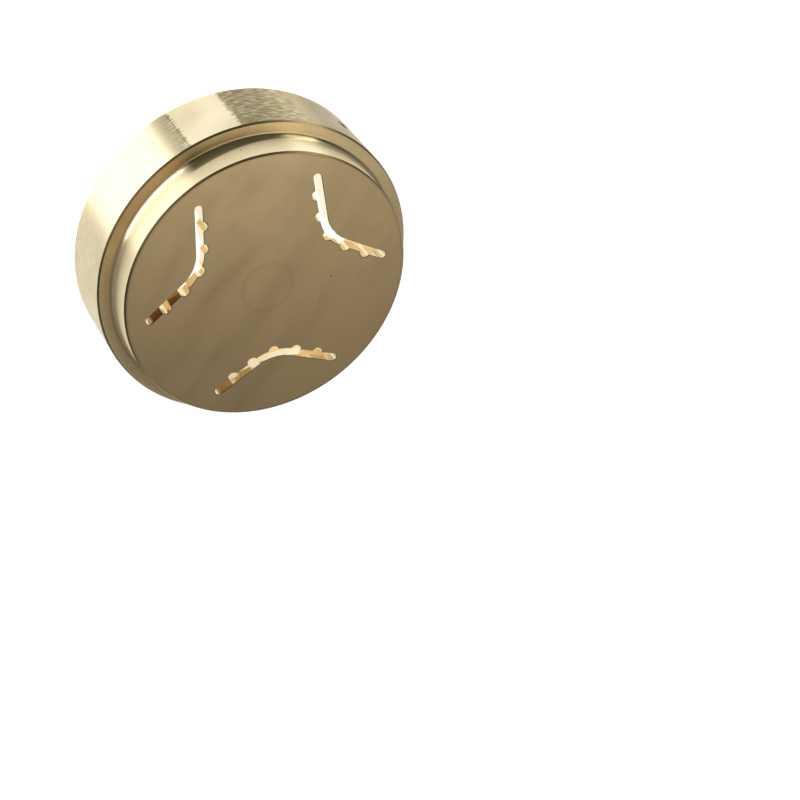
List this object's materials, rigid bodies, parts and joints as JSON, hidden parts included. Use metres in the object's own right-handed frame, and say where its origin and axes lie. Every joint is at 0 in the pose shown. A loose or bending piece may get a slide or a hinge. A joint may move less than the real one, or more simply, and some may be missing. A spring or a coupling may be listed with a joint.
{
  "type": "pasta extrusion die",
  "caption": "Flanged round brass die that forms ridged shell pasta: bent, notched slots are cut through a web over a round feed recess.",
  "frame": {"origin": "centre of the back rim, on the die's axis", "axes": "+Z along the die's axis towards the face where the dough comes out; +X to the right in the picture's view of that face"},
  "size_m": [0.057, 0.057, 0.0193],
  "materials": {
    "brass": "turned, satin"
  },
  "bodies": {
    "root": {"die": "brass"}
  },
  "joints": []
}
